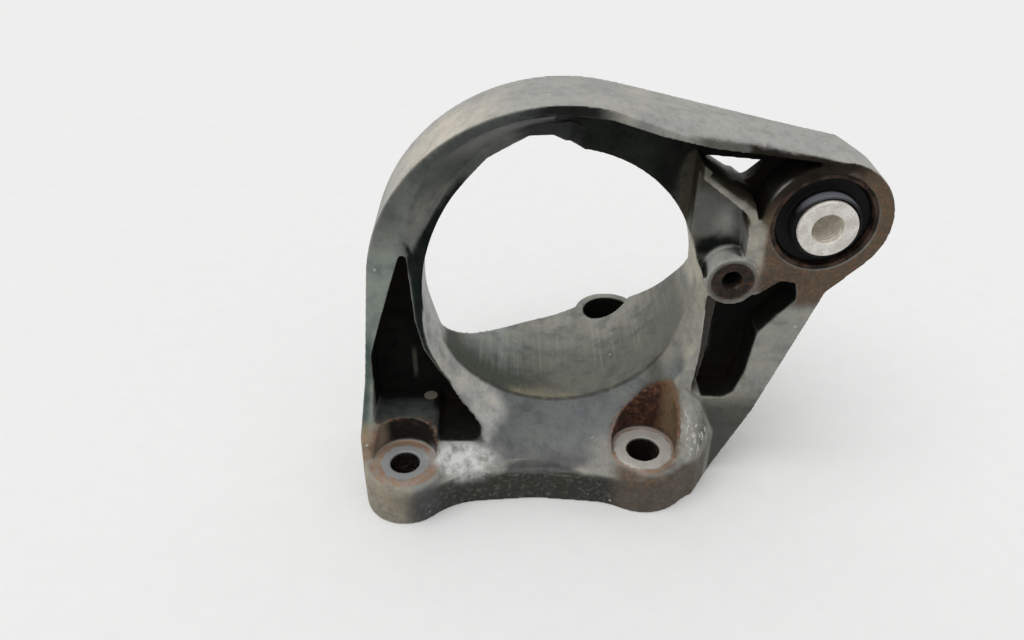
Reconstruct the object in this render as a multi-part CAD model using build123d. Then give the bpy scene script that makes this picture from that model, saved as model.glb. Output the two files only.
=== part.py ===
from build123d import *
from math import acos, atan2, cos, degrees, hypot, radians, sin, tan
import os

# Driveshaft support bracket: a die-cast aluminium foot, cradle and frame with a bonded bush.
# X runs right and Y runs back, seen from the front; Z runs up.
# The origin is under the cradle axis, in the frame's front plane, on the foot's flat underside.

# Frame: outer outline
frame_depth = 27.0
arch_radius = 66.8
arch_height = 85.0
left_lean = 6.0
right_knee = (91.2, 84.8)
right_elbow = (74.6, 31.7)
right_toe = (61.4, 0.0)

# Frame: web at mid depth
web_front = 14.0
web_thickness = 5.0
panel_front = 8.0
rim_depth = 17.0
crown_left = -3.0
crown_rib = 9.0
pocket_corner = 1.3
panel_corner = 0.9
window_tip = 1.0
window_heel = 2.0

# Frame: the front face falls from the left shoulder back to the crown
dish_start = 168.0
dish_end = 87.0
dish_ramp = 5.0
dish_depth = 20.0
dish_lip = (50.0, 63.5)
dish_foot = (49.5, 54.0)

# Frame: how far the front edge of the top flange sags
brow_drop = 3.6
brow_run = 11.0

# Opening and cradle
bore_radius = 45.7
bore_height = 75.0
cradle_front = 10.0
cradle_wall = 5.0
opening_radius = 48.0
opening_height = 84.0
mouth_radius = 56.0
mouth_shift = (4.5, -4.5)
mouth_front = -17.0

# Bush
bush_centre = (85.5, 111.4)
housing_radius = 22.3
housing_depth = 23.5
housing_overlap = 1.5
housing_flat = 20.7
housing_flat_angle = 55.0
housing_flat_start = 15.0
shell_radius = 17.5
shell_wall = 1.5
shell_setback = 0.8
rubber_setback = 3.0
collar_wall = 1.6
collar_setback = 1.2
sleeve_radius = 9.8
sleeve_bore = 5.3
sleeve_proud = 3.5

# Foot
lip_height = 15.0
lip_front = -17.2
lip_ends = -19.0
lip_middle = (-8.0, -15.0)
ledge_height = 13.2
ledge_centre = (-6.0, -46.8)
ledge_radius = 34.4
spot_height = 19.6
spot_radius = 12.0
left_foot = (-56.9, -12.9)
left_foot_radius = 15.6
right_foot = (33.8, -4.6)
right_foot_radius = 18.2
foot_round = 3.2
toe_corner = (52.9, -13.0)
lip_blend = 28.0
saddle_slope = 1.8

# Bolt holes
left_hole = (-56.6, -15.5)
right_hole = (33.0, -8.4)
rear_hole = (25.5, 67.0)
front_hole_radius = 5.5
right_hole_radius = 6.2
rear_hole_radius = 5.5
ear_height = 31.5
ear_radius = 14.5
ear_recess_radius = 10.3
keel_thickness = 9.0
keel_starts = (-18.0, 30.0)

# Threaded boss
boss_centre = (58.4, 89.7)
boss_front = -1.0
boss_radius = 9.0
boss_recess_radius = 7.4
boss_recess_depth = 1.0
boss_hole_radius = 3.4
boss_hole_depth = 17.0

# Underside core
core_wall = 6.0
core_corner = 2.0

# How far a cutting shape runs past the surface it cuts
past = 1.0


def slab(sketch, front, back):
    """A sketch drawn in X and Z, made solid from the front plane to the back plane."""
    return extrude(Plane.XZ.offset(-back) * sketch, amount=back - front)


def prism(sketch, low, high):
    """A sketch drawn in X and Y, made solid between two heights."""
    return extrude(Plane.XY.offset(low) * sketch, amount=high - low)


def disc(centre, radius):
    return Pos(*centre) * Circle(radius)


def outline(points, radius=0.0):
    """A closed polygon, with every corner rounded."""
    shape = make_face(Polyline(*points, close=True))
    if radius:
        shape = fillet(shape.vertices(), radius)
    return shape


def on_circle(centre, radius, angle):
    return (centre[0] + radius * cos(radians(angle)), centre[1] + radius * sin(radians(angle)))


def frame_heel():
    """The frame's lower left corner, where the leaning left side meets the floor."""
    shoulder = on_circle((0.0, arch_height), arch_radius, 180 - left_lean)
    return (shoulder[0] - shoulder[1] * tan(radians(left_lean)), 0.0)


def frame_outline():
    """Left side, arch, sloping top flange, bush housing and leaning right wall."""
    arch = (0.0, arch_height)
    lift = bush_centre[1] - arch_height
    top = degrees(atan2(lift, bush_centre[0]))
    top = top + degrees(acos((arch_radius - housing_radius) / hypot(bush_centre[0], lift)))
    knee_x = right_knee[0] - bush_centre[0]
    knee_z = right_knee[1] - bush_centre[1]
    low = degrees(atan2(knee_z, knee_x)) + degrees(acos(housing_radius / hypot(knee_x, knee_z)))
    left = 180 - left_lean
    shoulder = on_circle(arch, arch_radius, left)
    heel = frame_heel()
    edges = [
        Line(heel, shoulder),
        CenterArc(arch, arch_radius, left, top - left),
        Line(on_circle(arch, arch_radius, top), on_circle(bush_centre, housing_radius, top)),
        CenterArc(bush_centre, housing_radius, top, low - top),
        Line(on_circle(bush_centre, housing_radius, low), right_knee),
        Line(right_knee, right_elbow),
        Line(right_elbow, right_toe),
        Line(right_toe, heel),
    ]
    return make_face(Wire([edge.edge() for edge in edges]))


def opening():
    """The hole through the frame: the cradle's circle below, a wider arch above."""
    low = disc((0.0, bore_height), bore_radius)
    high = disc((0.0, opening_height), opening_radius)
    return make_hull(low.edges() + high.edges())


def upper_pocket():
    """Between top flange, panel and housing; it runs into the opening."""
    reach = outline([(crown_left, 100), (crown_left, 148.6), (14, 146.8), (30, 141.5), (46, 137.6),
                     (66, 135), (80, 133), (96, 129), (92, 112), (64, 112), (62, 118.5), (44, 131.5),
                     (43.2, 98), (40, 92)])
    return reach - disc(bush_centre, housing_radius - housing_overlap)


def panel_recess():
    """The shallow flat around the threaded boss, and the strip beside the right rim."""
    return outline([(41, 96), (43, 128), (59.5, 115), (61, 108), (61.5, 98), (64, 94.5), (64, 85.5),
                    (58, 80), (57.5, 52), (54, 40), (50, 40), (51.5, 60), (50.8, 84), (47.5, 94)],
                   panel_corner)


def left_pocket():
    """Between rim and left wall, pointed at the top, and under the cradle at the bottom."""
    points = [(-52.8, 105), (-58.5, 88), (-64.8, 68), (-68, 57), (-68.4, 33), (-66, 31), (-45, 31),
              (-43, 26.5), (-31, 26.5), (-28.5, 30), (-35.5, 38.5), (-43, 49.5), (-48.5, 60), (-51, 72)]
    return outline(points, pocket_corner)


def right_pocket():
    """The slot between the right rim and the leaning right wall."""
    points = [(61, 84), (57, 83), (56.4, 77), (55.5, 60), (55, 50), (53.5, 38), (62.6, 37.6), (66, 40),
              (69, 50), (70.6, 67), (76.3, 74.8), (82.1, 81.5), (80.5, 88.5), (75, 89.5), (68, 84)]
    return outline(points, pocket_corner)


def rear_floor_pocket():
    """Behind the web, under the cradle."""
    space = outline([(-60, 7), (-60, 40), (52, 40), (52, 7)])
    return space - disc((0.0, bore_height), bore_radius + cradle_wall)


def spoke(centre, angle, station=(0.0, 0.0)):
    """A plane through a station of the outline: first axis outward, second axis back."""
    return Plane(origin=(centre[0] + station[0], 0, centre[1] + station[1]),
                 x_dir=(cos(radians(angle)), 0, sin(radians(angle))),
                 z_dir=(-sin(radians(angle)), 0, cos(radians(angle))))


def dish():
    """The front face falls from the left shoulder back to the crown, then ramps up to the web."""
    def section(angle, lip, foot, depth):
        corners = [(38, -past), (lip + 0.8, -past), (lip, 0), (foot, depth), (38, depth)]
        return spoke((0.0, arch_height), angle) * make_face(Polyline(*corners, close=True))
    sections = [section(dish_end - dish_ramp, dish_lip[1], dish_foot[1], web_front)]
    steps = 11
    for step in range(steps + 1):
        share = step / steps
        angle = dish_end + (dish_start - dish_end) * share
        lip = dish_lip[1] - (dish_lip[1] - dish_lip[0]) * share ** 4
        foot = dish_foot[1] - (dish_foot[1] - dish_foot[0]) * share
        depth = dish_depth * (1 - 0.98 * share ** 2.4)
        sections.append(section(angle, lip, foot, depth))
    return loft(sections, ruled=True)


def mouth():
    """The bell mouth in front of the cradle, widest at the lip."""
    def ring(front, share):
        centre = (mouth_shift[0] * share, bore_height + mouth_shift[1] * share)
        radius = bore_radius + (mouth_radius - bore_radius) * share
        return Plane.XZ.offset(-front) * disc(centre, radius)
    run = cradle_front - mouth_front
    beyond = 16.0
    return loft([ring(cradle_front, 0.0), ring(mouth_front - beyond, (run + beyond) / run)])


def foot_outline():
    """Two round front feet joined by a concave lip, with a slanting right side."""
    left_side = frame_heel()[0]
    middle = outline([(left_foot[0] - left_foot_radius, left_foot[1]), (left_side, 0),
                      (left_side, frame_depth), (right_toe[0], frame_depth), (right_toe[0], 0), toe_corner,
                      (right_foot[0], lip_ends), lip_middle, (left_foot[0], lip_ends)])
    feet = middle + disc(left_foot, left_foot_radius) + disc(right_foot, right_foot_radius)
    return offset(offset(feet, lip_blend), -lip_blend)


def foot_pad(centre, radius):
    """A round foot with a softened top edge."""
    pad = prism(disc(centre, radius), 0, spot_height)
    return fillet(pad.edges().group_by(Axis.Z)[-1], foot_round)


def front_block():
    """Everything ahead of the frame: the feet, the lip and the slope behind them."""
    plan = foot_outline()
    ahead = lip_front - lip_blend
    crest = lip_height - lip_front * saddle_slope
    side = make_face(Polyline((ahead, 0), (ahead, lip_height), (lip_front, lip_height), (0, crest), (0, 0),
                              close=True))
    wedge = extrude(Plane.YZ.offset(-100) * side, amount=200)
    heel = frame_heel()
    lean = crest * tan(radians(left_lean))
    face = outline([heel, (heel[0] + lean, crest), (44, crest), (53, 39), (right_toe[0], spot_height),
                    right_toe])
    block = (prism(plan, 0, crest) & wedge) - prism(disc(ledge_centre, ledge_radius), ledge_height, crest)
    block += foot_pad(left_foot, left_foot_radius) + foot_pad(right_foot, right_foot_radius)
    return block & slab(face, -60, 0)


def cradle():
    """A half pipe behind the frame, cut to a rounded tongue and sloping down on its right."""
    pipe = slab(disc((0.0, bore_height), bore_radius + cradle_wall), web_front, rear_hole[1] + 20)
    left = -bore_radius + 2.2
    rear = Spline((left, rim_depth), (-36, 30), (-22, 49.5), (-8, 62.5), (5, 69), (16, 73), (30, 74),
                  (46, 64), (54, 45), tangents=[(0.5, 1), (0.2, -1)])
    front = Polyline((54, 45), (54, -5), (-54, -5), (-54, rim_depth), (left, rim_depth))
    plan = make_face(Wire([rear.edge()] + list(front.edges())))
    side = make_face(Polyline((-5, 0), (-5, 88), (22, 88), (59, 45), (71, 31), (95, 31), (95, 0), close=True))
    return pipe & prism(plan, 0, 100) & extrude(Plane.YZ.offset(-60) * side, amount=120)


def keel(start, width):
    """A rib under the cradle, from the frame back to the rear ear."""
    run = Vector(rear_hole[0] - start[0], rear_hole[1] - start[1])
    middle = ((rear_hole[0] + start[0]) / 2, (rear_hole[1] + start[1]) / 2)
    strip = Pos(*middle) * Rot(0, 0, degrees(atan2(run.Y, run.X))) * Rectangle(run.length, width)
    return prism(strip, 0, bore_height - bore_radius + 8)


def bracket_casting():
    profile = frame_outline()
    web_back = web_front + web_thickness
    casting = slab(profile, 0, frame_depth) + front_block()

    casting -= slab(upper_pocket(), -past, web_front) + dish()
    casting -= slab(panel_recess(), -past, panel_front)
    casting -= slab(left_pocket(), -40, web_front)
    casting -= slab(right_pocket(), -40, web_front)
    for pocket in (upper_pocket() - crown_strip(), left_pocket() + rim_gap(), right_pocket(),
                   rear_floor_pocket()):
        casting -= slab(pocket, web_back, frame_depth + past)
    casting -= slab(rim_gap(), rim_depth, frame_depth + past)
    casting -= slab(crown_notch(), -past, frame_depth + past)
    casting -= back_taper() + brow() + housing_chamfer()
    casting += slab(disc(boss_centre, boss_radius), boss_front, web_back)

    core = prism(outline([(-20, -10), (-20, web_front), (14, web_front), (14, -10)], core_corner), -past, 40)
    casting -= core - offset_mouth()
    casting += cradle()
    for keel_start in keel_starts:
        casting += keel((keel_start, web_back - past), keel_thickness)
    casting += prism(disc(rear_hole, ear_radius), 0, ear_height)

    casting -= slab(opening(), -60, 110) + mouth()
    casting -= slab(window(), -past, frame_depth + past)
    for hole, hole_radius, recess_radius in ((left_hole, front_hole_radius, spot_radius),
                                             (right_hole, right_hole_radius, spot_radius),
                                             (rear_hole, rear_hole_radius, ear_recess_radius)):
        casting -= prism(disc(hole, hole_radius), -past, spot_height + past)
        casting -= prism(disc(hole, recess_radius), spot_height, 60)
    casting -= slab(disc(boss_centre, boss_recess_radius), boss_front - past, boss_front + boss_recess_depth)
    casting -= slab(disc(boss_centre, boss_hole_radius), boss_front - past, boss_front + boss_hole_depth)
    casting -= slab(disc(bush_centre, shell_radius), -past, frame_depth + past)
    return casting


def offset_mouth():
    """The skin kept between the saddle and the hollow under it."""
    pipe = slab(disc((0.0, bore_height), bore_radius + core_wall), 0, 40)
    centre = (mouth_shift[0], bore_height + mouth_shift[1])
    near = Plane.XZ.offset(-mouth_front) * disc(centre, mouth_radius + core_wall)
    far = Plane.XZ.offset(-cradle_front) * disc((0.0, bore_height), bore_radius + core_wall)
    return pipe + loft([near, far])


def rim_gap():
    """Behind the left rim, which is shallower than the frame."""
    return outline([(-53, 50), (-53, 98), (-33, 98), (-33, 45), (-41, 45), (-44, 50)])


def crown_notch():
    """The opening is ragged at the crown, and not quite round."""
    return outline([(-11, 133.6), (-25, 126.6), (-33, 119), (-20, 105), (5, 120), (2.6, 131.2),
                    (-3, 133.9)])


def crown_strip():
    """The upright rib kept behind the crown, between the dish and the web."""
    return outline([(crown_left - 1, 100), (crown_left - 1, 160), (crown_left + crown_rib, 160),
                    (crown_left + crown_rib, 100)])


def back_taper():
    """The frame's back edge comes forward towards the housing."""
    return prism(outline([(20, frame_depth), (75, housing_depth), (130, housing_depth),
                          (130, frame_depth + 4), (20, frame_depth + 4)]), -past, 160)


def housing_chamfer():
    """The housing's back edge is cut away towards the upper right."""
    corners = [(housing_flat, housing_depth + past), (housing_radius, housing_flat_start),
               (housing_radius + 4, housing_flat_start), (housing_radius + 4, housing_depth + past)]
    face = spoke(bush_centre, housing_flat_angle) * make_face(Polyline(*corners, close=True))
    return extrude(face, amount=housing_radius / 2, both=True)


def brow():
    """The front edge of the straight top flange sags, most in the middle."""
    lift = bush_centre[1] - arch_height
    angle = degrees(atan2(lift, bush_centre[0]))
    angle = angle + degrees(acos((arch_radius - housing_radius) / hypot(bush_centre[0], lift)))
    start = on_circle((0.0, arch_height), arch_radius, angle)
    end = on_circle(bush_centre, housing_radius, angle)
    sections = []
    steps = 8
    for step in range(steps + 1):
        share = step / steps
        drop = 0.2 + brow_drop * sin(radians(180 * share)) ** 1.3
        station = (start[0] + (end[0] - start[0]) * share, start[1] + (end[1] - start[1]) * share)
        corners = [(-drop * 1.1, -past), (0, brow_run), (4, brow_run), (4, -past)]
        sections.append(spoke(station, angle) * make_face(Polyline(*corners, close=True)))
    return loft(sections, ruled=True)


def window():
    """The small three-cornered hole through the web, under the top flange."""
    shape = outline([(42.8, 129.9), (68, 127.4), (61.2, 121.2), (56.4, 121.4)])
    heel = shape.vertices().sort_by(Axis.Y)[:2]
    tips = shape.vertices().sort_by(Axis.Y)[2:]
    return fillet(heel, window_heel) & fillet(tips, window_tip)


def ring(outer, inner, front, back):
    return slab(disc(bush_centre, outer) - disc(bush_centre, inner), front, back)


def bush_outer_sleeve():
    return ring(shell_radius, shell_radius - shell_wall, shell_setback, frame_depth - shell_setback)


def bush_rubber():
    inside = sleeve_radius
    main = ring(shell_radius - shell_wall, inside, rubber_setback, frame_depth - rubber_setback)
    collar = ring(sleeve_radius + collar_wall, inside, collar_setback - sleeve_proud,
                  frame_depth + sleeve_proud - collar_setback)
    return main + collar


def bush_inner_sleeve():
    return ring(sleeve_radius, sleeve_bore, -sleeve_proud, frame_depth + sleeve_proud)


os.makedirs("parts", exist_ok=True)
for name, make in (("bracket_casting", bracket_casting), ("bush_outer_sleeve", bush_outer_sleeve),
                   ("bush_rubber", bush_rubber), ("bush_inner_sleeve", bush_inner_sleeve)):
    export_step(make(), "parts/" + name + ".step")
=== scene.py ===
import math

import bmesh
import bpy
import numpy as np
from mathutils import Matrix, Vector
from mathutils.bvhtree import BVHTree


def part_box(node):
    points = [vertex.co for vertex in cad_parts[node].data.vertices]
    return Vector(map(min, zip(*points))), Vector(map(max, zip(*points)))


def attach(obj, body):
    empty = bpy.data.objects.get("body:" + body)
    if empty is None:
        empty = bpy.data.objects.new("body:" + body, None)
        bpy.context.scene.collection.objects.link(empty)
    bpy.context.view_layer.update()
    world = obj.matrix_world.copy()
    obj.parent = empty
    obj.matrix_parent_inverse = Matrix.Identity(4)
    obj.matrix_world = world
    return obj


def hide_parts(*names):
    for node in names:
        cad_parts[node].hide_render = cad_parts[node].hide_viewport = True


# A weathered die-cast driveshaft bracket, seen from in front and above, on a pale floor.
# Metres, with the part's own frame: X right, Y back, Z up.

MM = 0.001

# Skin of the casting
VOXEL = 0.5 * MM
SMOOTH_STEPS = 6
SKIN_TRIANGLES = 86000
LONGEST_EDGE = 2.2 * MM
FRONT_DEPTH = 16 * MM
SPLIT_PASSES = 3
WELD_DISTANCE = 0.002 * MM

# Rays that measure how open the space over each point is
RAYS = 20
RAY_REACH = 26 * MM
RAY_START = 0.25 * MM
FAR_WALL_SHARE = 0.6
SIDE_REFERENCE = (0.31, 0.27, 0.91)

# Smoothing of the measured curvature and of the painted tones, as shares of the neighbours' mean
BEND_PASSES = 3
BEND_SHARE = 0.6
TONE_SHARE = 0.4

# Camera
CAMERA_PLACE = (-16.7 * MM, -245 * MM, 245 * MM)
CAMERA_PITCH = 35.0
FOCAL_PIXELS = 850.0
PICTURE_WIDTH = 1024.0
SENSOR_WIDTH = 36.0
NEAR_CLIP = 0.01

# Light
WORLD_LIGHT = 0.62
SUN_LIGHT = 1.15
SUN_SOFTNESS = 50.0
SUN_TILT = (14.0, -18.0)
SEEN_BACKGROUND = 0.855

# Floor
FLOOR_HALF = 4.0
FLOOR_TONE = (0.905, 0.905, 0.900)
FLOOR_SHADE = 0.985


def smoothstep(value, low, high):
    """0 below low, easing to 1 above high."""
    share = np.clip((value - low) / (high - low), 0.0, 1.0)
    return share * share * (3 - 2 * share)


def fall(value, low, high):
    """1 below low, easing to 0 above high."""
    return 1 - smoothstep(value, low, high)


def band(value, low, high, soft):
    """1 between low and high, easing to 0 over soft on both sides."""
    return smoothstep(value, low - soft, low + soft) * fall(value, high - soft, high + soft)


def mesh_arrays(mesh):
    points = np.zeros(len(mesh.vertices) * 3)
    mesh.vertices.foreach_get("co", points)
    normals = np.zeros(len(mesh.vertices) * 3)
    mesh.vertices.foreach_get("normal", normals)
    return points.reshape(-1, 3), normals.reshape(-1, 3)


def edge_array(mesh):
    ends = np.zeros(len(mesh.edges) * 2, np.int32)
    mesh.edges.foreach_get("vertices", ends)
    return ends.reshape(-1, 2)


def neighbour_mean(values, ends, count):
    """The mean of each vertex's neighbours."""
    total = np.zeros_like(values)
    for one, other in ((0, 1), (1, 0)):
        np.add.at(total, ends[:, one], values[ends[:, other]])
    return total / (count[:, None] if values.ndim > 1 else count)


def write_float(mesh, name, values):
    made = mesh.attributes.new(name, "FLOAT", "POINT")
    made.data.foreach_set("value", values.astype(np.float32))


def write_colour(mesh, name, values):
    made = mesh.attributes.new(name, "FLOAT_COLOR", "POINT")
    full = np.ones((len(values), 4), np.float32)
    full[:, :3] = values
    made.data.foreach_set("color", full.ravel())


def apply_modifiers(obj):
    graph = bpy.context.evaluated_depsgraph_get()
    mesh = bpy.data.meshes.new_from_object(obj.evaluated_get(graph))
    obj.modifiers.clear()
    obj.data = mesh


def split_long_edges(mesh):
    """Cuts the long edges on the front, so that paint can end sharply there."""
    shape = bmesh.new()
    shape.from_mesh(mesh)
    bmesh.ops.triangulate(shape, faces=shape.faces)
    for _ in range(SPLIT_PASSES):
        long_edges = [edge for edge in shape.edges if edge.calc_length() > LONGEST_EDGE
                      and min(edge.verts[0].co.y, edge.verts[1].co.y) < FRONT_DEPTH
                      and max(edge.verts[0].co.z, edge.verts[1].co.z) > MM]
        if len(long_edges) > 2:
            bmesh.ops.subdivide_edges(shape, edges=long_edges, cuts=1)
            bmesh.ops.triangulate(shape, faces=[face for face in shape.faces if len(face.verts) > 3])
    shape.to_mesh(mesh)
    shape.free()


def cast_skin(node):
    """The casting's surface with the soft edges of a casting, kept inside the CAD solid's box."""
    mesh = node.data.copy()
    shape = bmesh.new()
    shape.from_mesh(mesh)
    bmesh.ops.remove_doubles(shape, verts=shape.verts, dist=WELD_DISTANCE)
    shape.to_mesh(mesh)
    shape.free()
    skin = bpy.data.objects.new("casting_skin", mesh)
    bpy.context.scene.collection.objects.link(skin)
    remesh = skin.modifiers.new("remesh", "REMESH")
    remesh.mode = "VOXEL"
    remesh.voxel_size = VOXEL * 1
    smooth = skin.modifiers.new("smooth", "SMOOTH")
    smooth.factor = 0.5
    smooth.iterations = SMOOTH_STEPS
    apply_modifiers(skin)
    triangles = sum(len(face.vertices) - 2 for face in skin.data.polygons)
    thin = skin.modifiers.new("thin", "DECIMATE")
    thin.ratio = min(1.0, SKIN_TRIANGLES / triangles)
    apply_modifiers(skin)
    split_long_edges(skin.data)
    low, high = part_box(node.name)
    points, _ = mesh_arrays(skin.data)
    points = np.clip(points, np.array(low), np.array(high))
    skin.data.vertices.foreach_set("co", points.ravel())
    skin.data.materials.clear()
    skin.data.update()
    skin.data.polygons.foreach_set("use_smooth", [True] * len(skin.data.polygons))
    return skin


def openness(skin):
    """How much of the space over each vertex is free, from 0 in a deep pocket to 1 outside."""
    graph = bpy.context.evaluated_depsgraph_get()
    tree = BVHTree.FromObject(skin, graph)
    points, normals = mesh_arrays(skin.data)
    golden = math.pi * (3 - math.sqrt(5))
    directions = []
    for step in range(RAYS):
        height = math.sqrt((step + 0.5) / RAYS)
        flat = math.sqrt(1 - height * height)
        directions.append((flat * math.cos(golden * step), flat * math.sin(golden * step), height))
    side = np.cross(normals, np.array(SIDE_REFERENCE))
    side /= np.maximum(np.linalg.norm(side, axis=1), 1e-6)[:, None]
    other = np.cross(normals, side)
    free = np.zeros(len(points))
    starts = points + normals * RAY_START
    for x, y, z in directions:
        rays = side * x + other * y + normals * z
        for index in range(len(points)):
            hit = tree.ray_cast(Vector(starts[index]), Vector(rays[index]), RAY_REACH)
            if hit[3] is None:
                free[index] += 1.0
            else:
                free[index] += FAR_WALL_SHARE * hit[3] / RAY_REACH
    return free / RAYS


def shape_measures(skin):
    """Places, normals and curvature of the skin in millimetres, for the zones below."""
    points, normals = mesh_arrays(skin.data)
    ends = edge_array(skin.data)
    count = np.maximum(np.bincount(ends.ravel(), minlength=len(points)), 1).astype(float)
    bend = np.einsum("ij,ij->i", points - neighbour_mean(points, ends, count), normals) / MM
    for _ in range(BEND_PASSES):
        bend = (1 - BEND_SHARE) * bend + BEND_SHARE * neighbour_mean(bend, ends, count)
    x, y, z = (points / MM).T
    low = np.hypot(x, z - BORE[1]) - BORE_RADIUS
    high = np.hypot(x, z - OPENING[1]) - OPENING_RADIUS
    share = np.clip((z - BORE[1]) / (OPENING[1] - BORE[1]), 0, 1)
    inward = -(normals[:, 0] * x + normals[:, 2] * (z - BORE[1])) / np.maximum(low + BORE_RADIUS, 1)
    return {"x": x, "y": y, "z": z, "nx": normals[:, 0], "ny": normals[:, 1], "nz": normals[:, 2],
            "bend": bend, "ends": ends, "count": count,
            "from_arch": np.hypot(x - ARCH[0], z - ARCH[1]),
            "from_hole": low + (high - low) * share,
            "from_bush": np.hypot(x - BUSH[0], z - BUSH[1]),
            "from_boss": np.hypot(x - BOSS[0], z - BOSS[1]),
            "from_left": np.hypot(x - LEFT_HOLE[0], y - LEFT_HOLE[1]),
            "from_right": np.hypot(x - RIGHT_HOLE[0], y - RIGHT_HOLE[1]),
            "inward": inward}


# Landmarks of the casting, in millimetres
ARCH = (0.0, 85.0)
BORE = (0.0, 75.0)
OPENING = (0.0, 84.0)
BORE_RADIUS = 45.7
OPENING_RADIUS = 48.0
BUSH = (85.5, 111.4)
BOSS = (58.4, 89.7)
BOSS_RECESS = 7.4
LEFT_HOLE = (-56.6, -15.5)
RIGHT_HOLE = (33.0, -8.4)
REAR_HOLE = (25.5, 67.0)
BROW_SHADE = 3.6
SPOT_FACE = 19.6

# Areas of the front, as outlines in X and Z
LEFT_POCKET = [(-53, 106), (-59, 88), (-65, 68), (-69, 57), (-69, 26), (-28, 26), (-28, 30),
               (-35.2, 38.5), (-42.8, 49.5), (-48.2, 60), (-50.8, 72)]
LEFT_RIM = [(-52.6, 105), (-50.6, 103), (-48.0, 100), (-46.4, 96), (-46.5, 86), (-44, 70),
            (-38, 56), (-28, 40), (-24, 33), (-28, 30), (-35.2, 38.5), (-42.8, 49.5), (-48.2, 60),
            (-50.8, 72), (-51.4, 88)]
UPPER_POCKET = [(-7, 136), (-4, 149), (14, 147.3), (30, 142), (46, 138), (66, 135.5), (80, 133.5),
                (97, 129.5), (92, 112), (64, 112), (62, 118), (43.8, 131), (41, 130), (36, 113),
                (28, 122), (12, 129)]
RIGHT_POCKET = [(59.5, 80.5), (57.9, 77), (57.4, 52), (54, 36.5), (62.6, 36.0), (66.6, 39.0),
                (69.4, 50), (71, 67), (76.5, 74.3), (82.6, 81.3), (80.8, 89), (75, 90), (67, 83)]
TAN_RIDGE = [(61.8, 93), (67.6, 93), (67.0, 110), (63.5, 113.5), (61.6, 108)]
THIN_RIDGE = [(43, 126.5), (44, 129), (62.5, 116), (66.5, 108), (63.0, 107), (60.6, 113.6)]
PANEL_SHADE = [(45.5, 97), (47, 101.5), (52, 103.4), (58, 102.6), (62, 100.0), (61, 97.4),
               (55, 98.4), (50, 95)]
PANEL_STEP = [(40, 92), (40, 131), (45, 131), (44, 126), (44, 104), (46, 97)]
LEFT_STREAKS = [(-53, 74), (-47, 55), (-35, 37), (-26, 26), (-19, 29), (-24, 37), (-33, 50),
                (-45, 68)]
RIGHT_SHOULDER = [(33, 41), (41, 48), (47, 62), (50, 86), (42, 86), (39, 66), (30, 47)]

# Tones of the casting's zones, as linear colours
TONES = {
    "outside": (0.300, 0.298, 0.270),
    "top": (0.435, 0.430, 0.400),
    "top_tan": (0.620, 0.575, 0.505),
    "dish": (0.110, 0.118, 0.107),
    "dish_low": (0.190, 0.195, 0.178),
    "dish_patch": (0.150, 0.150, 0.138),
    "dish_edge": (0.050, 0.056, 0.053),
    "dish_crown_shadow": (0.0180, 0.022, 0.020),
    "left_wall": (0.215, 0.250, 0.222),
    "left_edge": (0.070, 0.105, 0.092),
    # Painted shade on the rim, and a painted highlight along its back edge
    "rim": (0.0125, 0.0165, 0.0150),
    "rim_streak": (0.115, 0.120, 0.116),
    "rim_line": (0.560, 0.565, 0.550),
    "right_wall": (0.270, 0.272, 0.245),
    "right_toe": (0.070, 0.069, 0.060),
    "panel": (0.105, 0.108, 0.100),
    "panel_low": (0.050, 0.046, 0.036),
    "panel_top": (0.045, 0.041, 0.027),
    "panel_shade": (0.010, 0.012, 0.011),
    "ridge": (0.430, 0.410, 0.360),
    "tan_ridge": (0.370, 0.350, 0.300),
    "housing": (0.098, 0.074, 0.048),
    "housing_top": (0.022, 0.0180, 0.0140),
    "housing_low": (0.042, 0.037, 0.028),
    "boss_side": (0.430, 0.440, 0.415),
    "boss_rim": (0.135, 0.128, 0.112),
    "boss_recess": (0.0085, 0.0060, 0.0040),
    "boss_hole": (0.026, 0.0100, 0.0060),
    "hole_wall": (0.510, 0.480, 0.395),
    "saddle": (0.155, 0.168, 0.167),
    "saddle_low": (0.135, 0.143, 0.145),
    "left_streaks": (0.500, 0.495, 0.470),
    "right_shoulder": (0.300, 0.292, 0.255),
    "cradle": (0.165, 0.170, 0.145),
    "cradle_dark": (0.070, 0.080, 0.062),
    "cradle_left": (0.340, 0.365, 0.345),
    "cradle_rear": (0.300, 0.300, 0.270),
    "cradle_dust": (0.240, 0.222, 0.165),
    "lip": (0.028, 0.028, 0.021),
    "left_foot": (0.300, 0.275, 0.215),
    "left_toe": (0.330, 0.245, 0.170),
    "left_foot_dark": (0.062, 0.066, 0.070),
    "right_foot": (0.095, 0.078, 0.058),
    "foot_top": (0.270, 0.262, 0.240),
    "left_recess": (0.0016, 0.0012, 0.0009),
    "left_recess_side": (0.230, 0.175, 0.130),
    "right_recess": (0.032, 0.0085, 0.0050),
    "right_recess_side": (0.170, 0.120, 0.070),
    "spot_face": (0.330, 0.332, 0.335),
    "pocket_floor": (0.060, 0.068, 0.064),
    "dish_shade": (0.060, 0.068, 0.064),
    "shoulder_shade": (0.085, 0.098, 0.090),
    "web_shade": (0.018, 0.021, 0.018),
    "panel_light": (0.270, 0.275, 0.255),
    "groove": (0.030, 0.028, 0.019),
    "thin_ridge": (0.290, 0.275, 0.235),
    "flange_front": (0.016, 0.017, 0.016),
    "flange_band": (0.085, 0.088, 0.070),
    "right_edge": (0.400, 0.385, 0.330),
    "saddle_shade": (0.110, 0.110, 0.098),
    "ear_hole": (0.010, 0.010, 0.009),
    "ledge": (0.125, 0.125, 0.126),
    "bolt_hole": (0.010, 0.008, 0.006),
    # Painted shade: the pockets' near-black tone, with some black dirt
    "deep": (0.0105, 0.0105, 0.0098),
}


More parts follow.
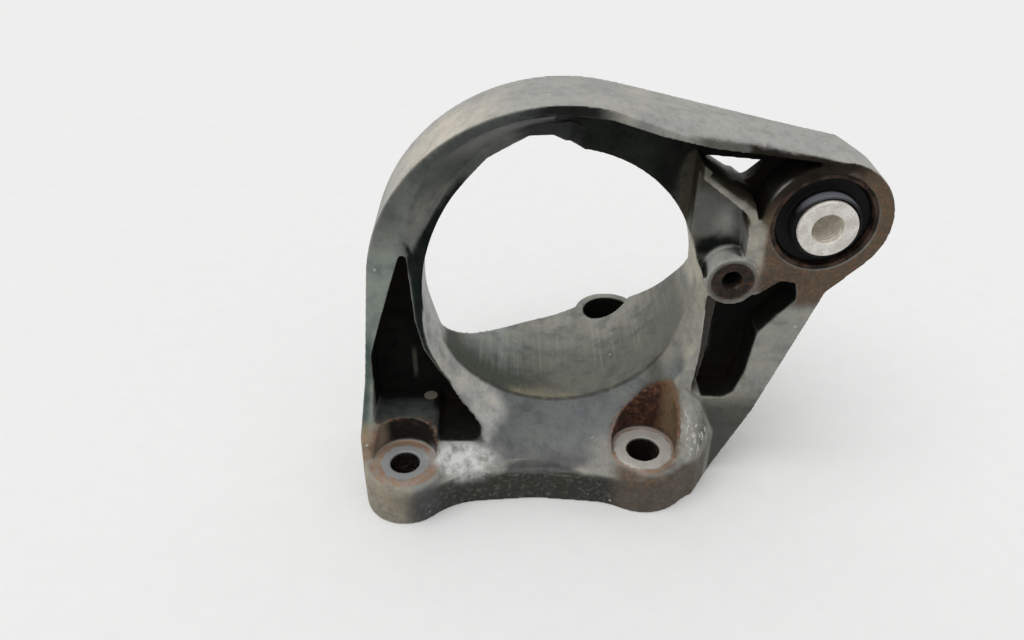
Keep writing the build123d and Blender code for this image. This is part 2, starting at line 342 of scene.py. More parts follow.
def inside(outline, x, z, soft=0.5):
    """1 inside a closed outline, easing to 0 over soft on both sides of its edge."""
    near = np.full(len(x), 1e9)
    within = np.zeros(len(x), bool)
    for (x0, z0), (x1, z1) in zip(outline, outline[1:] + outline[:1]):
        run, rise = x1 - x0, z1 - z0
        share = np.clip(((x - x0) * run + (z - z0) * rise) / (run * run + rise * rise), 0, 1)
        near = np.minimum(near, np.hypot(x - x0 - share * run, z - z0 - share * rise))
        if rise:
            within ^= ((z0 > z) != (z1 > z)) & (x < x0 + (z - z0) * run / rise)
    return smoothstep(np.where(within, near, -near), -soft, soft)


def blob(x, z, centre, size):
    """A soft round patch."""
    return np.exp(-((x - centre[0]) / size[0]) ** 2 - ((z - centre[1]) / size[1]) ** 2)


def front_zones(at):
    """The frame's front, from the left shoulder round to the housing."""
    x, y, z = at["x"], at["y"], at["z"]
    front = smoothstep(-at["ny"], 0.40, 0.75)
    shallow = fall(y, 1.5, 4)
    from_arch, from_hole = at["from_arch"], at["from_hole"]
    crown = smoothstep(-at["ny"], 0.25, 0.5) * fall(x, 2, 6) * smoothstep(z, 78, 92)
    crown = crown * fall(from_arch, 66.0, 67.0) * fall(y, 21, 24)
    step = inside(PANEL_STEP, x, z, 1.0) * band(y, 1.5, 16, 0.5)
    panel = front * band(y, 5.5, 10, 1.2) * smoothstep(x, 43, 45) * smoothstep(z, 38, 42)
    ridge = front * shallow * smoothstep(x, 42, 45) * smoothstep(z, 80, 86)
    bush = fall(at["from_bush"], 30, 34)
    hole_wall = smoothstep(-at["nx"], 0.3, 0.6) * fall(np.abs(from_hole), 0.8, 1.6)
    hole_wall = hole_wall * smoothstep(x, 30, 36)
    # Painted shade: a strip along the flange's brow, in the flange band's dark tone and, to the right,
    # the housing top's
    brow_shade = BROW_SHADE * np.sin(np.clip((x - 36) / 50, 0, 1) * math.pi) ** 0.8
    flange = smoothstep(z, 124, 128) * smoothstep(x, -12, -6)
    dark_brow = flange * smoothstep(x, 36, 44) * fall(x, 84, 88)
    dark_brow = dark_brow * fall(y, brow_shade - 0.4, brow_shade + 0.4)
    return [
        ("dish", crown),
        ("dish_low", crown * fall(z, 112, 124) * fall(x, -40, -32)),
        ("dish_patch", crown * smoothstep(y, 1, 3) * blob(x, z, (-24, 134), (9, 4.5))),
        ("dish_shade", crown * blob(x, z, (-37, 128), (7, 6))),
        ("dish_edge", crown * smoothstep(from_arch, 61, 64) * smoothstep(x, -52, -42)),
        ("shoulder_shade", crown * shallow * blob(x, z, (-57, 116), (6, 10))),
        # Painted shadow: the dish darkens to near black towards the pocket, and under the flange by the
        # crown
        ("dish_crown_shadow", crown * smoothstep(x, -20, -9)),
        ("dish_crown_shadow", smoothstep(x, -14, -7) * fall(x, 12, 18) * smoothstep(z, 122, 128)
         * fall(at["from_arch"], 65.6, 66.4) * band(y, 1.0, 21, 0.5)),
        ("left_wall", front * shallow * fall(x, -50, -45) * fall(z, 94, 108) * smoothstep(z, 16, 22)),
        ("left_edge", front * shallow * fall(x - 0.105 * z, -74.6, -72.8) * band(z, 26, 66, 7)),
        ("left_toe", front * shallow * fall(x, -68, -64) * band(z, 10, 30, 4)),
        ("right_wall", front * shallow * smoothstep(x, 53, 57) * fall(z, 80, 92)),
        ("right_toe", front * shallow * smoothstep(x, 50, 56) * fall(z, 30, 46)),
        ("hole_wall", hole_wall * (1 - 0.8 * smoothstep(z, 98, 110))),
        # Painted shade: the web under the flange's overhang is painted dark
        ("web_shade", front * band(y, 11, 17, 1) * smoothstep(x, -4, 4) * fall(x, 38, 46)
         * smoothstep(z, 84, 92)),
        ("panel_top", step),
        ("panel", panel),
        ("panel_light", panel * blob(x, z, (55.5, 108), (3.5, 6))),
        ("panel_low", panel * fall(z, 76, 92)),
        ("panel_low", panel * fall(x, 47, 49.5) * fall(z, 99, 106)),
        ("panel_top", panel * smoothstep(z, 117, 123)),
        ("panel_shade", panel * inside(PANEL_SHADE, x, z, 1.2)),
        ("groove", smoothstep(x, 42, 44) * fall(x, 66, 70) * smoothstep(z, 104, 112) * fall(z, 130, 134)
         * fall(y, 19.5, 21) * (1 - panel)
         * (1 - 0.8 * blob(x, z, (60.5, 120.5), (3.5, 4)) * smoothstep(y, 12, 14))),
        ("ridge", ridge * fall(z, 108, 112)),
        ("housing", front * shallow * bush * smoothstep(x, 64, 68)),
        ("housing_low", front * shallow * bush * smoothstep(x, 64, 68) * blob(x, z, (74, 86), (8, 7))),
        ("housing_top", front * shallow * smoothstep(x, 60, 66)
         * smoothstep(z + 0.45 * (85 - x), 119, 130)),
        ("tan_ridge", ridge * inside(TAN_RIDGE, x, z, 0.8)),
        ("thin_ridge", front * shallow * inside(THIN_RIDGE, x, z, 0.5)),
        ("flange_front", front * shallow * flange * smoothstep(x, -12, -6) * fall(x, 8, 20)),
        ("flange_band", front * shallow * flange * smoothstep(x, 38, 46) * fall(x, 58, 64)),
        ("flange_band", dark_brow * fall(x, 55, 58)),
        ("housing_top", dark_brow * smoothstep(x, 55, 58)),
    ]


def boss_zones(at):
    """The threaded boss: light side, dark recess."""
    from_boss, y = at["from_boss"], at["y"]
    near = fall(from_boss, 9.2, 10.2)
    return [
        ("boss_side", near * smoothstep(from_boss, 8.2, 8.8) * smoothstep(at["nz"], 0.0, 0.4)
         * fall(y, 7, 9)),
        ("boss_rim", near * smoothstep(-at["ny"], 0.6, 0.9) * fall(y, 0.4, 1.5)),
        ("boss_recess", fall(from_boss, BOSS_RECESS - 0.3, BOSS_RECESS + 0.4) * fall(y, 2, 4)),
        ("boss_hole", fall(from_boss, 3.6, 4.0) * smoothstep(y, 0.3, 1.2)),
    ]


def rim_zones(at):
    """The rim left of the opening, painted black as shade, with a painted highlight along its back edge.
    """
    x, y, z = at["x"], at["y"], at["z"]
    line_start = np.interp(z, (62, 79, 86, 91, 96, 99), (-6, 1.2, 3.8, 6, 12, 18))
    front = smoothstep(-at["ny"], 0.6, 0.85)
    rim = inside(LEFT_RIM, x, z, 0.45) * smoothstep(y, -2, -1) * front
    edge_width = 2.7 + 2.8 * fall(z, 98, 110)
    edge = fall(at["from_hole"] - edge_width, -0.5, 0.5) * band(z, 92, 121, 3)
    edge = edge * fall(x, -26, -20)
    wall = smoothstep(at["nx"], 0.3, 0.6) * fall(at["from_hole"], 4.6, 5.6) * fall(x, -36, -30)
    # Painted highlight: a light line along the rim's back edge
    line = wall * smoothstep(y, line_start - 0.6, line_start + 0.6)
    line = line * smoothstep(z, 54, 62) * fall(z, 97, 100)
    streak = rim * blob(x + 0.055 * (z - 82), z, (-51.3, 86), (0.4, 9))
    return [
        ("rim", rim),
        ("rim", edge * fall(y, 20, 23)),
        ("rim", wall * smoothstep(z, 64, 72) * fall(z, 108, 118) * fall(at["from_hole"], 2.2, 3.2)),
        ("rim_streak", streak),
        ("rim_line", line),
    ]


def cradle_zones(at):
    """The bell mouth in front, called the saddle here, and the half pipe behind it."""
    x, y, z = at["x"], at["y"], at["z"]
    inward = smoothstep(at["inward"], 0.2, 0.6) * fall(z, 84, 92) * fall(at["from_hole"], 12, 14)
    saddle = inward * fall(y, 9.2, 10.6) * fall(z, 66, 84)
    cradle = inward * smoothstep(y, 9.2, 10.6) * fall(z, 66, 84)
    from_rear_hole = np.hypot(x - REAR_HOLE[0], y - REAR_HOLE[1])
    return [
        ("saddle", saddle),
        ("saddle_low", saddle * fall(y, -13, -5)),
        ("left_streaks", saddle * inside(LEFT_STREAKS, x, z, 2.2)),
        ("right_shoulder", inward * inside(RIGHT_SHOULDER, x, z, 2.0) * fall(y, 9, 14)),
        ("right_edge", inward * smoothstep(x, 44, 47) * band(z, 54, 90, 5) * fall(y, 4, 8)),
        ("saddle_shade", saddle * blob(x, z, (37, 45), (5, 6)) * smoothstep(y, 2, 5)),
        ("cradle", cradle),
        ("cradle_rear", cradle * smoothstep(y - 0.75 * z, 8, 30) * smoothstep(x, -30, 6)),
        ("cradle_dark", cradle * fall(y, 22, 30) * fall(x, -16, 4) * smoothstep(x, -46, -40)),
        ("cradle_left", cradle * smoothstep(y, 25, 33) * fall(x, -22, -8)),
        ("cradle_dust", cradle * fall(y, 12, 15) * band(x, -18, 8, 5)),
        ("ear_hole", smoothstep(y, 55, 60) * fall(from_rear_hole, 10.6, 11.2)
         * fall(z, 36, 38) * smoothstep(z, 0.5, 2)),
    ]


def foot_zones(at):
    """The two front feet, the lip between them and the recesses over their holes."""
    x, y, z = at["x"], at["y"], at["z"]
    up = smoothstep(at["nz"], 0.5, 0.8)
    from_left, from_right = at["from_left"], at["from_right"]
    ahead = fall(y, -8, -3) * fall(z, 17.5, 19.4)
    wall = smoothstep(z, SPOT_FACE + 0.2, SPOT_FACE + 1.2) * fall(z, 46, 50) * fall(at["nz"], 0.5, 0.75)
    left_wall = wall * fall(from_left, 12.5, 13.5)
    right_wall = wall * fall(from_right, 12.5, 13.5)
    near = np.minimum(from_left, from_right)
    ledge = ahead * band(z, 12.4, 18.5, 0.4) * band(x, -24, 12, 3) * smoothstep(y, -15.2, -14.2)
    return [
        ("foot_top", up * fall(z, 22, 26) * smoothstep(z, 13.5, 15) * fall(y, -6, 0)
         * (1 - 0.85 * band(x, -22, 14, 5))),
        ("lip", ahead * fall(z, 13.0, 15.2)),
        ("ledge", ledge),
        ("left_foot", ahead * fall(x, -58, -50)),
        ("left_foot_dark", ahead * blob(x, y, (-50, -24), (7, 6)) * fall(z, 15, 18)),
        ("right_foot", ahead * smoothstep(x, 18, 26)),
        ("left_recess", left_wall),
        ("left_recess_side", left_wall * fall(x, -66, -62)),
        ("right_recess", right_wall),
        ("right_recess_side", right_wall * smoothstep(x, 38, 43)),
        ("spot_face", up * fall(near, 11.4, 12.2) * band(z, 18.8, 20.4, 0.3)),
        ("bolt_hole", fall(near, 6.6, 7.0) * (1 - up) * fall(z, 18.6, 19.4)),
    ]


def deep_weight(at):
    """The pockets, painted near-black: shade where no light seems to reach, with some black dirt."""
    x, y, z = at["x"], at["y"], at["z"]
    left = inside(LEFT_POCKET, x, z, 0.4) * smoothstep(y, 0.3, 1.3)
    left_low = inside(LEFT_POCKET, x, z, 0.4) * smoothstep(x, -46, -44) * smoothstep(y, -12.5, -11)
    back = np.maximum(inside(LEFT_POCKET, x, z, 2.0), inside(RIGHT_POCKET, x, z, 2.0))
    back = smoothstep(back, 0.0, 0.5) * smoothstep(y, 8.5, 9.5)
    floor_front = smoothstep(at["nz"], 0.5, 0.8) * fall(y, 5, 8) * fall(x, -48, -46)
    upper = inside(UPPER_POCKET, x, z, 0.5) * smoothstep(y, 0.6, 1.6) * smoothstep(x, 26, 42)
    right = inside(RIGHT_POCKET, x, z, 0.4) * smoothstep(y, 0.3, 1.3)
    under = inside(UPPER_POCKET, x, z, 2.0) * smoothstep(-at["nz"], 0.3, 0.6) * smoothstep(x, -6, 0)
    walls = np.maximum.reduce([left, left_low, back]) * (1 - floor_front)
    deep = np.maximum.reduce([walls, upper, right, under])
    boss = fall(at["from_boss"], 9.0, 9.6) * fall(y, 6, 9)
    window_lip = blob(x, z, (60.5, 119.5), (4.5, 4.5)) * smoothstep(at["nz"], 0.1, 0.4)
    return deep * (1 - boss) * fall(y, 21, 23) * (1 - 0.8 * window_lip)


def paint_zones(skin):
    """Writes the tones, the openness that drives painted shade, and the masks of rust, salt and wear
    onto the skin.
    """
    at = shape_measures(skin)
    x, y, z = at["x"], at["y"], at["z"]
    at["open"] = openness(skin)
    tone = np.tile(np.array(TONES["outside"]), (len(x), 1))
    top = smoothstep(at["nz"], 0.25, 0.6) * smoothstep(z, 92, 105) * smoothstep(at["from_arch"], 60, 66)
    zones = [("top", top), ("top_tan", top * np.exp(-((x + 38) / 15) ** 2) * fall(y, 16, 24))]
    zones += front_zones(at) + boss_zones(at) + cradle_zones(at) + foot_zones(at)
    deep = deep_weight(at)
    zones += [("pocket_floor", inside(LEFT_POCKET, x, z, 0.4) * smoothstep(at["nz"], 0.5, 0.8))]
    zones += [("deep", deep)]
    zones += rim_zones(at)
    weights = {}
    for name, weight in zones:
        tone += weight[:, None] * (np.array(TONES[name]) - tone)
        weights[name] = np.maximum(weights.get(name, 0.0), weight)
    tone = (1 - TONE_SHARE) * tone + TONE_SHARE * neighbour_mean(tone, at["ends"], at["count"])
    near_spot = np.minimum(at["from_left"], at["from_right"])
    recess_edge = band(near_spot, 11.5, 14.5, 0.9) * smoothstep(z, 18.5, 19.5) * fall(z, 40, 48)
    recess_edge = recess_edge * smoothstep(at["bend"], 0.0, 0.03)
    rust = (0.8 * recess_edge + 0.45 * weights["housing"] * (1 - weights["housing_top"])
            + 0.4 * weights["right_recess"] + 0.04 * weights["left_recess"]
            + 0.3 * weights["left_toe"] + 0.15 * weights["right_foot"]
            + 0.7 * weights["right_foot"] * blob(x, z, (31, 17.5), (9, 3)) + 0.2 * weights["boss_recess"]
            + 0.45 * weights["left_foot"] * blob(x, z, (-62, 10), (7, 5)))
    salt = np.exp(-((x + 35) / 12) ** 2 - ((y + 13) / 7) ** 2 - ((z - 18) / 7) ** 2)
    scrape = np.exp(-((x - 50) / 6) ** 2 - ((y + 7) / 7) ** 2 - ((z - 26) / 10) ** 2)
    dull = [deep, weights["rim"] * (1 - weights["rim_line"])]
    dull += [weights["groove"] * (1 - weights["thin_ridge"])]
    dull += [weights[name] for name in ("panel_shade", "housing_top", "ear_hole", "bolt_hole",
                                        "flange_front", "web_shade")]
    dull = np.clip(np.maximum.reduce(dull), 0, 1)
    write_colour(skin.data, "tone", tone)
    write_float(skin.data, "open", at["open"])
    write_float(skin.data, "deep", dull)
    write_float(skin.data, "rust", np.clip(rust, 0, 1) * (1 - deep))
    write_float(skin.data, "salt", salt * (1 - deep))
    write_float(skin.data, "scrape", scrape * (1 - weights["right_recess"]))
    # Convex edges, lightened in the shader: partly rubbed wear, partly a painted highlight
    wear_and_highlight = smoothstep(at["bend"], 0.025, 0.09) * (1 - dull) * (1 - 0.95 * weights["housing"])
    write_float(skin.data, "wear_and_highlight", wear_and_highlight * (1 - weights["left_edge"]) * (1 - weights["boss_recess"]))
    write_float(skin.data, "calm", weights["top"])
    rough_cast = weights["lip"] + 0.6 * weights["right_foot"] + salt
    write_float(skin.data, "rough_cast", np.clip(rough_cast, 0, 1))


# Each spot face: its hole, where the clean ring ends, the ring's colour and how strong it is
SPOT_MARKS = ((LEFT_HOLE, 8.8, (0.300, 0.310, 0.310), 0.95),
              (RIGHT_HOLE, 10.9, (0.520, 0.490, 0.440), 0.85))


class Shader:
    """A small helper that adds nodes to one material and links them."""

    def __init__(self, name):
        self.material = bpy.data.materials.new(name)
        self.material.use_nodes = True
        self.tree = self.material.node_tree
        self.surface = self.tree.nodes["Principled BSDF"]
        self.place = self.tree.nodes.new("ShaderNodeTexCoord").outputs["Object"]

    def add(self, kind, inputs=None, **settings):
        node = self.tree.nodes.new(kind)
        for name, value in settings.items():
            setattr(node, name, value)
        for key, value in (inputs or {}).items():
            self.set(node.inputs[key], value)
        return node

    def set(self, socket, value):
        if isinstance(value, bpy.types.NodeSocket):
            self.tree.links.new(value, socket)
        elif isinstance(value, tuple) and socket.type == "RGBA":
            socket.default_value = (*value, 1.0)
        else:
            socket.default_value = value

    def noise(self, size, detail=4.0, roughness=0.55, stretch=(1.0, 1.0, 1.0)):
        """Noise whose blobs are about size metres across."""
        place = self.add("ShaderNodeMapping", {"Vector": self.place, "Scale": stretch}).outputs[0]
        node = self.add("ShaderNodeTexNoise", {"Vector": place, "Scale": 1.0 / size, "Detail": detail,
                                               "Roughness": roughness})
        return node.outputs["Fac"]

    def cells(self, size):
        """Distance to the middle of cells about size metres across."""
        inputs = {"Vector": self.place, "Scale": 1.0 / size}
        return self.add("ShaderNodeTexVoronoi", inputs, feature="F1").outputs["Distance"]

    def ramp(self, value, low, high, start=0.0, end=1.0):
        node = self.add("ShaderNodeMapRange", {"Value": value, "From Min": low, "From Max": high,
                                               "To Min": start, "To Max": end})
        node.interpolation_type = "SMOOTHSTEP"
        return node.outputs["Result"]

    def math(self, operation, one, other=0.0):
        node = self.add("ShaderNodeMath", {0: one, 1: other}, operation=operation)
        return node.outputs[0]

    def mix(self, share, one, other, blend="MIX"):
        node = self.add("ShaderNodeMix", data_type="RGBA", blend_type=blend)
        self.set(node.inputs[0], share)
        self.set(node.inputs[6], one)
        self.set(node.inputs[7], other)
        return node.outputs[2]

    def tint(self, share, colour, factor):
        """The colour, with a share of it multiplied by a factor."""
        return self.mix(share, colour, self.mix(1.0, colour, factor, "MULTIPLY"))

    def slot_mask(self, axis, low, high, soft):
        """1 between two places along an axis, in millimetres."""
        along = self.add("ShaderNodeSeparateXYZ", {0: self.place}).outputs[axis]
        rise = self.ramp(along, (low - soft) * MM, (low + soft) * MM)
        fall = self.ramp(along, (high + soft) * MM, (high - soft) * MM)
        return self.math("MULTIPLY", rise, fall)

    def distance(self, centre):
        """Distance from an upright axis, in millimetres."""
        middle = (centre[0] * MM, centre[1] * MM, 0.0)
        level = (1.0, 1.0, 0.0)
        flat = self.add("ShaderNodeVectorMath", {0: self.place, 1: level}, operation="MULTIPLY")
        apart = self.add("ShaderNodeVectorMath", {0: flat.outputs[0], 1: middle}, operation="DISTANCE")
        return self.math("DIVIDE", apart.outputs["Value"], MM)

    def mask(self, name):
        return self.add("ShaderNodeAttribute", attribute_name=name).outputs["Fac"]

    def bump(self, height, distance, strength=1.0, under=None):
        node = self.add("ShaderNodeBump", {"Height": height, "Distance": distance, "Strength": strength})
        if under is not None:
            self.set(node.inputs["Normal"], under)
        return node.outputs["Normal"]

    def finish(self, colour, roughness, metallic, normal, specular=0.35):
        self.set(self.surface.inputs["Base Color"], colour)
        self.set(self.surface.inputs["Roughness"], roughness)
        self.set(self.surface.inputs["Metallic"], metallic)
        self.set(self.surface.inputs["Normal"], normal)
        self.set(self.surface.inputs["Specular IOR Level"], specular)
        return self.material


def casting_material():
    s = Shader("weathered_casting")
    tone = s.add("ShaderNodeAttribute", attribute_name="tone").outputs["Color"]
    large = s.noise(26 * MM, 3.0)
    middle = s.noise(7 * MM, 5.0, 0.6)
    small = s.noise(3.2 * MM, 5.0, 0.65)
    fine = s.noise(1.6 * MM, 4.0, 0.65)
    streaks = s.noise(5 * MM, 4.0, 0.6, (0.3, 1.0, 1.0))
    facing = s.add("ShaderNodeSeparateXYZ", {0: s.add("ShaderNodeNewGeometry").outputs["Normal"]})
    up = s.ramp(facing.outputs["Z"], 0.6, 0.85)

    # Grey that shifts a little between cool and warm, mottled and streaked
    colour = s.tint(s.ramp(large, 0.35, 0.68, 0.0, 0.5), tone, (0.80, 0.84, 0.90))
    lively = s.ramp(s.mask("calm"), 0.0, 1.0, 1.0, 0.45)
    light_patch = s.math("MULTIPLY", lively, s.ramp(middle, 0.42, 0.7, 0.0, 0.55))
    colour = s.tint(light_patch, colour, (1.35, 1.30, 1.18))
    dark_patch = s.math("MULTIPLY", lively, s.ramp(middle, 0.52, 0.34, 0.0, 0.6))
    colour = s.tint(dark_patch, colour, (0.60, 0.60, 0.58))
    colour = s.tint(s.ramp(streaks, 0.5, 0.75, 0.0, 0.4), colour, (1.28, 1.22, 1.06))
    colour = s.tint(s.ramp(small, 0.50, 0.36, 0.0, 0.35), colour, (0.55, 0.54, 0.50))
    colour = s.tint(s.ramp(fine, 0.35, 0.7, 0.0, 0.35), colour, (0.72, 0.72, 0.70))

    # Sandy grain of the cast skin
    grain = s.noise(0.8 * MM, 3.0, 0.7)
    colour = s.tint(s.ramp(grain, 0.55, 0.72, 0.0, 0.35), colour, (1.6, 1.6, 1.55))
    colour = s.tint(s.ramp(grain, 0.46, 0.30, 0.0, 0.35), colour, (0.55, 0.55, 0.55))

    # Painted shade with road dirt where little air reaches over the surface, and painted shade in the
    # crease along the foot of the bell mouth
    shelter = s.ramp(s.mask("open"), 0.62, 0.34)
    recess_shade_and_dirt = s.math("MULTIPLY", shelter, s.ramp(middle, 0.25, 0.6, 0.45, 1.0))
    colour = s.mix(recess_shade_and_dirt, colour, (0.016, 0.014, 0.012))
    crease_shade = s.math("MULTIPLY", s.slot_mask("Y", 8.9, 10.5, 0.5), s.slot_mask("X", -40, 42, 4))
    crease_shade = s.math("MULTIPLY", crease_shade, s.slot_mask("Z", 26, 58, 4))
    crease_shade = s.math("MULTIPLY", crease_shade, s.ramp(small, 0.3, 0.55, 0.25, 0.68))
    colour = s.mix(crease_shade, colour, (0.022, 0.021, 0.018))

    # Rust-coloured stains
    stain = s.math("MULTIPLY", s.mask("rust"), s.ramp(small, 0.38, 0.6))
    rust = s.mix(s.ramp(fine, 0.4, 0.65), (0.055, 0.016, 0.006), (0.260, 0.120, 0.050))
    colour = s.mix(s.math("MULTIPLY", stain, 0.75), colour, rust)

    # Spot faces: rust where the washer's edge sat, and a clean ring inside it
    flat = s.math("MULTIPLY", up, s.slot_mask("Z", SPOT_FACE - 0.9, SPOT_FACE + 0.9, 0.3))
    for hole, ring, shade, amount in SPOT_MARKS:
        around = s.math("ADD", s.distance(hole), s.ramp(small, 0.2, 0.8, -0.5, 0.5))
        near = s.math("MULTIPLY", flat, s.ramp(around, 12.9, 12.3))
        stain = s.math("MULTIPLY", near, s.ramp(around, ring - 0.4, ring + 0.4))
        patchy = s.math("MULTIPLY", stain, s.ramp(small, 0.3, 0.6, 0.25, 0.8))
        colour = s.mix(patchy, colour, (0.300, 0.175, 0.095))
        clean = s.math("MULTIPLY", near, s.ramp(around, ring + 0.2, ring - 0.4))
        patchy = s.math("MULTIPLY", clean, s.ramp(middle, 0.3, 0.6, amount - 0.25, amount))
        colour = s.mix(patchy, colour, shade)

    # Marks left in the left pocket by the tool that pushed the casting out of its mould
    pad = s.math("MULTIPLY", s.ramp(s.distance((-48.3, 9.6)), 2.8, 2.3), s.slot_mask("Z", 29, 33, 0.5))
    colour = s.mix(s.math("MULTIPLY", pad, up), colour, (0.190, 0.175, 0.140))
    streak = s.math("MULTIPLY", s.slot_mask("X", -54.8, -53.2, 0.5), s.slot_mask("Z", 38, 50, 3))
    streak = s.math("MULTIPLY", streak, s.slot_mask("Y", 12.5, 15, 0.5))
    colour = s.mix(s.math("MULTIPLY", streak, 0.7), colour, (0.090, 0.088, 0.070))

    # The lip's rough skin catches light on its high grains
    rough_cast = s.mask("rough_cast")
    high_grain = s.math("MULTIPLY", rough_cast, s.ramp(s.noise(1.9 * MM, 5.0, 0.7), 0.50, 0.64))
    colour = s.mix(s.math("MULTIPLY", high_grain, 0.6), colour, (0.120, 0.120, 0.102))

    # White crust and bright scrapes
    crust_grain = s.ramp(s.noise(4.5 * MM, 6.0, 0.68), 0.30, 0.62)
    crust = s.math("MULTIPLY", s.ramp(s.mask("salt"), 0.08, 0.6), crust_grain)
    colour = s.mix(s.math("MULTIPLY", crust, 0.92), colour, (0.70, 0.71, 0.69))
    scratch = s.ramp(s.noise(1.3 * MM, 5.0, 0.7, (1.0, 0.6, 0.25)), 0.50, 0.64)
    scrape = s.math("MULTIPLY", s.ramp(s.mask("scrape"), 0.15, 0.5), scratch)
    colour = s.mix(s.math("MULTIPLY", scrape, 0.7), colour, (0.66, 0.65, 0.61))

    # Small white chips, and convex edges made lighter, partly rubbed wear and partly a painted highlight
    chips = s.ramp(s.cells(7.5 * MM), 0.085, 0.05)
    chips = s.math("MULTIPLY", chips, s.ramp(large, 0.48, 0.58))
    chips = s.math("MULTIPLY", chips, s.math("SUBTRACT", 1.0, s.mask("deep")))
    colour = s.mix(s.math("MULTIPLY", chips, 0.7), colour, (0.55, 0.55, 0.53))
    rubbed_and_highlight = s.math("MULTIPLY", s.mask("wear_and_highlight"), s.ramp(middle, 0.36, 0.58))
    colour = s.mix(s.math("MULTIPLY", rubbed_and_highlight, 0.5), colour, (0.36, 0.35, 0.32))

    normal = s.bump(large, 0.9 * MM, 0.25)
    normal = s.bump(fine, 0.18 * MM, 0.55, normal)
    normal = s.bump(s.noise(2.2 * MM, 5.0, 0.65), 0.9 * MM, s.math("MULTIPLY", rough_cast, 0.8), normal)
    roughness = s.ramp(middle, 0.3, 0.7, 0.52, 0.72)
    bare = s.math("SUBTRACT", 1.0, s.mask("deep"))
    metallic = s.math("MULTIPLY", bare, 0.22)
    return s.finish(colour, roughness, metallic, normal, s.math("MULTIPLY", bare, 0.35))


def rubber_material():
    s = Shader("moulded_rubber")
    large = s.noise(9 * MM, 3.0)
    fine = s.noise(0.9 * MM, 4.0, 0.6)
    colour = s.mix(s.ramp(large, 0.4, 0.7), (0.003, 0.003, 0.003), (0.006, 0.006, 0.006))
    colour = s.mix(s.ramp(fine, 0.60, 0.75, 0.0, 0.4), colour, (0.020, 0.018, 0.016))
    facing = s.add("ShaderNodeSeparateXYZ", {0: s.add("ShaderNodeNewGeometry").outputs["Normal"]})
    # Painted highlight: the rubber's upward faces at the front are painted a lighter bluish grey
    top_highlight = s.math("MULTIPLY", s.ramp(facing.outputs["Z"], 0.35, 0.85), s.slot_mask("Y", -3.0, 1.0, 0.6))
    colour = s.mix(s.math("MULTIPLY", top_highlight, 0.8), colour, (0.170, 0.175, 0.200))
    normal = s.bump(fine, 0.12 * MM, 0.5)
    return s.finish(colour, s.ramp(large, 0.3, 0.7, 0.45, 0.65), 0.0, normal, 0.12)


def shell_material():
    s = Shader("rusty_shell")
    large = s.noise(5 * MM, 4.0, 0.6)
    fine = s.noise(0.8 * MM, 5.0, 0.7)
    colour = s.mix(s.ramp(large, 0.38, 0.64), (0.018, 0.010, 0.007), (0.060, 0.030, 0.017))
    colour = s.mix(s.ramp(fine, 0.5, 0.66, 0.0, 0.7), colour, (0.020, 0.013, 0.010))
    normal = s.bump(fine, 0.15 * MM, 0.7)
    return s.finish(colour, s.ramp(fine, 0.3, 0.7, 0.6, 0.85), s.ramp(large, 0.6, 0.4, 0.0, 0.5), normal)


def sleeve_material():
    """Turned aluminium: a pale speckled face, and rings left by the tool in the bore and outside."""
    s = Shader("turned_sleeve")
    geometry = s.add("ShaderNodeNewGeometry")
    along = s.add("ShaderNodeSeparateXYZ", {0: geometry.outputs["Normal"]}).outputs["Y"]
    face = s.ramp(s.math("ABSOLUTE", along), 0.6, 0.9)
    large = s.noise(4 * MM, 4.0, 0.6)
    fine = s.noise(0.55 * MM, 4.0, 0.7)
    pale = s.mix(s.ramp(large, 0.36, 0.66), (0.56, 0.53, 0.48), (0.74, 0.72, 0.68))
    pale = s.mix(s.ramp(fine, 0.52, 0.7, 0.0, 0.7), pale, (0.34, 0.31, 0.27))
    depth = s.add("ShaderNodeSeparateXYZ", {0: s.place}).outputs["Y"]
    rings = s.math("SINE", s.math("MULTIPLY", depth, 2 * math.pi / (1.7 * MM)))
    rings = s.math("ADD", rings, s.ramp(s.noise(2.2 * MM, 5.0, 0.7), 0.2, 0.8, -2.2, 2.2))
    grey = s.mix(s.ramp(rings, -1.6, 1.8), (0.640, 0.600, 0.530), (0.940, 0.900, 0.820))
    colour = s.mix(face, grey, pale)
    normal = s.bump(fine, 0.05 * MM, 0.5)
    roughness = s.ramp(fine, 0.3, 0.7, 0.42, 0.62)
    return s.finish(colour, roughness, s.ramp(face, 0.0, 1.0, 0.30, 0.12), normal, 0.45)


def dress_bush(frame):
    """The bush keeps its CAD pieces, with their sharp edges broken."""
    finishes = {"bush_outer_sleeve": (shell_material(), 0.25), "bush_rubber": (rubber_material(), 0.9),
                "bush_inner_sleeve": (sleeve_material(), 0.35)}
    for name, (material, edge) in finishes.items():
        node = frame["nodes"][name]
        node.data.materials.clear()
        node.data.materials.append(material)
        weld = node.modifiers.new("weld", "WELD")
        weld.merge_threshold = 0.005 * MM
        bevel = node.modifiers.new("edge", "BEVEL")
        bevel.width = edge * MM
        bevel.segments = 3
        bevel.limit_method = "ANGLE"
        bevel.angle_limit = math.radians(40)
        bevel.harden_normals = True


def floor():
    mesh = bpy.data.meshes.new("floor")
    signs = ((-1, -1), (1, -1), (1, 1), (-1, 1))
    mesh.from_pydata([(FLOOR_HALF * x, FLOOR_HALF * y, 0) for x, y in signs], [], [(0, 1, 2, 3)])
    plane = bpy.data.objects.new("floor", mesh)
    bpy.context.scene.collection.objects.link(plane)
    s = Shader("pale_floor")
    tone = s.ramp(s.noise(9 * MM, 3.0), 0.3, 0.7, 0.0, 1.0)
    colour = s.mix(tone, FLOOR_TONE, tuple(FLOOR_SHADE * part for part in FLOOR_TONE))
    mesh.materials.append(s.finish(colour, 0.9, 0.0, s.bump(tone, 0.02 * MM, 0.1), 0.1))


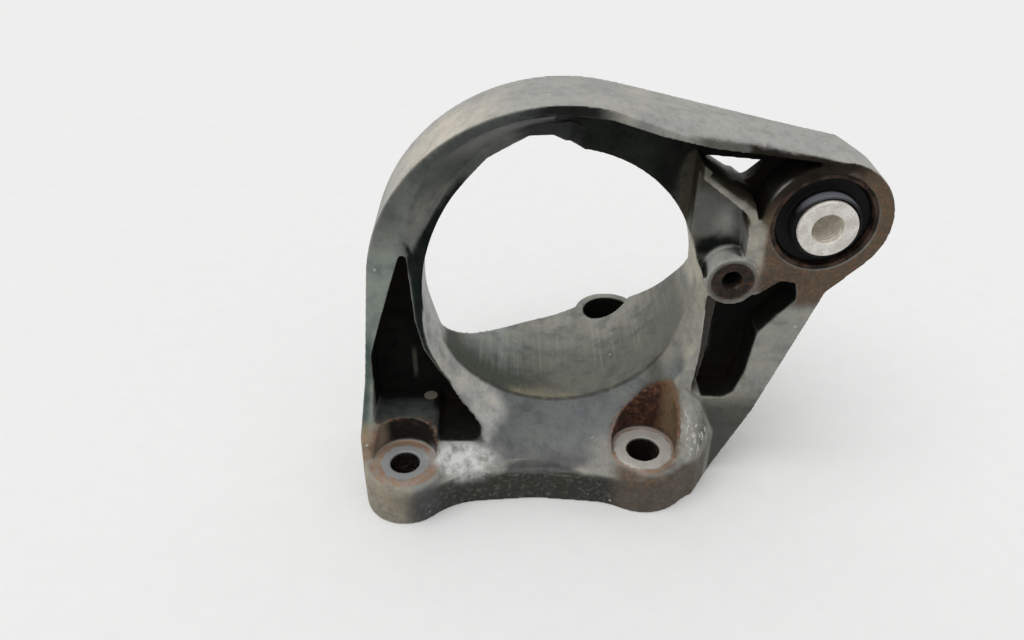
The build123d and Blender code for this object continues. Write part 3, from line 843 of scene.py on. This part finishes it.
def camera():
    data = bpy.data.cameras.new("camera")
    data.sensor_width = SENSOR_WIDTH
    data.lens = FOCAL_PIXELS / PICTURE_WIDTH * SENSOR_WIDTH
    data.clip_start = NEAR_CLIP
    eye = bpy.data.objects.new("camera", data)
    eye.location = CAMERA_PLACE
    eye.rotation_euler = (math.radians(90 - CAMERA_PITCH), 0, 0)
    bpy.context.scene.collection.objects.link(eye)
    bpy.context.scene.camera = eye


def light():
    world = bpy.data.worlds.new("studio")
    bpy.context.scene.world = world
    world.use_nodes = True
    tree = world.node_tree
    back = tree.nodes["Background"]
    path = tree.nodes.new("ShaderNodeLightPath")
    mix = tree.nodes.new("ShaderNodeMix")
    mix.data_type = "FLOAT"
    mix.inputs[2].default_value = WORLD_LIGHT
    mix.inputs[3].default_value = SEEN_BACKGROUND
    tree.links.new(path.outputs["Is Camera Ray"], mix.inputs[0])
    tree.links.new(mix.outputs[0], back.inputs["Strength"])
    back.inputs["Color"].default_value = (1, 1, 1, 1)
    sun = bpy.data.lights.new("sun", "SUN")
    sun.energy = SUN_LIGHT
    sun.angle = math.radians(SUN_SOFTNESS)
    lamp = bpy.data.objects.new("sun", sun)
    lamp.rotation_euler = (math.radians(SUN_TILT[0]), math.radians(SUN_TILT[1]), 0)
    bpy.context.scene.collection.objects.link(lamp)


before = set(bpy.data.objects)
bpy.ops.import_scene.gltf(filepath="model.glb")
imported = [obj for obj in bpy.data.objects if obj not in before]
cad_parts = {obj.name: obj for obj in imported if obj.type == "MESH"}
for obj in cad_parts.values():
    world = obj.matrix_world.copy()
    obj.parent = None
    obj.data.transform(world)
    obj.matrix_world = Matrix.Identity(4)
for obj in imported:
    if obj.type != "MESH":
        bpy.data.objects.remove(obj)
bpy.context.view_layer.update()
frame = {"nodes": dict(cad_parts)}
casting = frame["nodes"]["bracket_casting"]
skin = cast_skin(casting)
paint_zones(skin)
skin.data.materials.append(casting_material())
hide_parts("bracket_casting")
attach(skin, "root")
dress_bush(frame)
floor()
camera()
light()
bpy.context.scene.view_settings.view_transform = "Standard"
